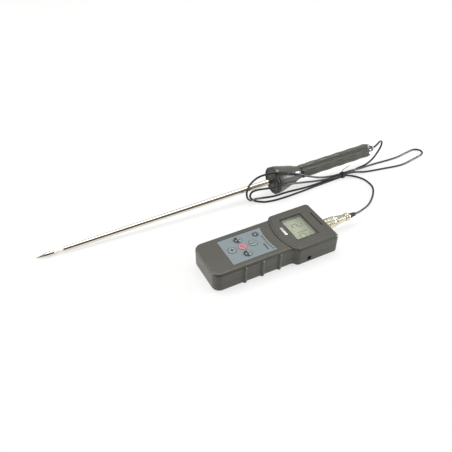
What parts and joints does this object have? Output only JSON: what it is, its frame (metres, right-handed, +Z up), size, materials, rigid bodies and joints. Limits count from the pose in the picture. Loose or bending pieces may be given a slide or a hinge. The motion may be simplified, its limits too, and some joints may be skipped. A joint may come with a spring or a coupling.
{
  "type": "grain moisture meter",
  "caption": "Hand-held grain moisture meter with a keypad and display, joined by a thin coaxial cord with a bayonet plug to a spear probe with a bell guard and a ribbed handle.",
  "frame": {"origin": "on the table, midway along and across the meter and the probe where they lie", "axes": "+X along the meter from its foot to its connector end, and roughly from the probe's tip to its handle; +Y from the meter to the probe; +Z up"},
  "size_m": [0.5829, 0.1598, 0.0408],
  "materials": {
    "case_plastic": "satin, finely textured, olive grey",
    "screw_steel": "zinc plated",
    "battery_wrap": "printed wrap",
    "contact_spring": "nickel plated spring sheet",
    "board_laminate": "solder mask",
    "label_print": "printed sheet",
    "key_red": "printed",
    "key_grey": "printed",
    "lens_clear": "clear, polished",
    "display_grey": "grey-green display glass",
    "bezel_tin": "tin plated",
    "zebra_rubber": "matt",
    "badge_silver": "satin",
    "socket_black": "satin",
    "connector_nickel": "bright nickel plate, slightly warm",
    "insulator_white": "smooth",
    "contact_gold": "gold plated",
    "gasket_red": "matt",
    "rubber_black": "matt",
    "probe_steel": "polished stainless steel",
    "core_copper": "drawn rod",
    "handle_plastic": "satin, warm grey",
    "liner_plastic": "moulded",
    "cord_black": "satin",
    "tie_black": "satin"
  },
  "bodies": {
    "instrument": {"upper_shell": "case_plastic", "lower_shell": "case_plastic", "case_screw_1": "screw_steel", "case_screw_2": "screw_steel", "case_screw_3": "screw_steel", "case_screw_4": "screw_steel", "battery_1": "battery_wrap", "battery_2": "battery_wrap", "battery_3": "battery_wrap", "battery_4": "battery_wrap", "contact_bridge_1": "contact_spring", "contact_bridge_2": "contact_spring", "contact_bridge_3": "contact_spring", "contact_negative": "contact_spring", "contact_positive": "contact_spring", "power_switch_dome": "contact_spring", "menu_switch_dome": "contact_spring", "light_switch_dome": "contact_spring", "up_switch_dome": "contact_spring", "down_switch_dome": "contact_spring", "circuit_board": "board_laminate", "keypad_label": "label_print", "display_lens": "lens_clear", "display_panel": "display_grey", "display_bezel": "bezel_tin", "zebra_strip": "zebra_rubber", "badge_plate": "badge_silver", "power_socket": "socket_black", "jack_body": "connector_nickel", "jack_washer": "connector_nickel", "jack_nut": "connector_nickel", "plug_body": "connector_nickel", "plug_shroud": "connector_nickel", "plug_clamp_nut": "connector_nickel", "gland_ferrule": "connector_nickel", "jack_insulator": "insulator_white", "plug_insulator": "insulator_white", "tip_insulator": "insulator_white", "jack_contact": "contact_gold", "plug_pin": "contact_gold", "plug_gasket": "gasket_red", "plug_boot": "rubber_black", "cord_gland": "rubber_black", "neck_ring": "rubber_black", "probe_tip": "probe_steel", "probe_tube": "probe_steel", "probe_core": "core_copper", "guard_plate": "handle_plastic", "guard_bell": "handle_plastic", "grip_sleeve": "handle_plastic", "grip_liner": "liner_plastic", "cord_cable": "cord_black", "cord_tie": "tie_black"},
    "power_key_body": {"power_key": "key_red"},
    "menu_key_body": {"menu_key": "key_grey"},
    "light_key_body": {"light_key": "key_grey"},
    "up_key_body": {"up_key": "key_grey"},
    "down_key_body": {"down_key": "key_grey"},
    "plug_collar_body": {"plug_collar": "connector_nickel"},
    "battery_cover_body": {"battery_cover": "case_plastic"}
  },
  "joints": [
    {"name": "power_key_press", "type": "slide", "parent": "instrument", "child": "power_key_body", "axis": [0, 0, 1], "range_m": [-0.0005, 0], "stiffness_N_per_m": 400},
    {"name": "menu_key_press", "type": "slide", "parent": "instrument", "child": "menu_key_body", "axis": [0, 0, 1], "range_m": [-0.0005, 0], "stiffness_N_per_m": 400},
    {"name": "light_key_press", "type": "slide", "parent": "instrument", "child": "light_key_body", "axis": [0, 0, 1], "range_m": [-0.0005, 0], "stiffness_N_per_m": 400},
    {"name": "up_key_press", "type": "slide", "parent": "instrument", "child": "up_key_body", "axis": [0, 0, 1], "range_m": [-0.0005, 0], "stiffness_N_per_m": 400},
    {"name": "down_key_press", "type": "slide", "parent": "instrument", "child": "down_key_body", "axis": [0, 0, 1], "range_m": [-0.0005, 0], "stiffness_N_per_m": 400},
    {"name": "plug_collar_turn", "type": "hinge", "parent": "instrument", "child": "plug_collar_body", "pos_m": [0.0975, -0.0444, 0.0135], "axis": [1, 0, 0], "range_deg": [0, 90]},
    {"name": "battery_cover_slide", "type": "slide", "parent": "instrument", "child": "battery_cover_body", "axis": [-1, 0, 0], "range_m": [0, 0.05]}
  ]
}
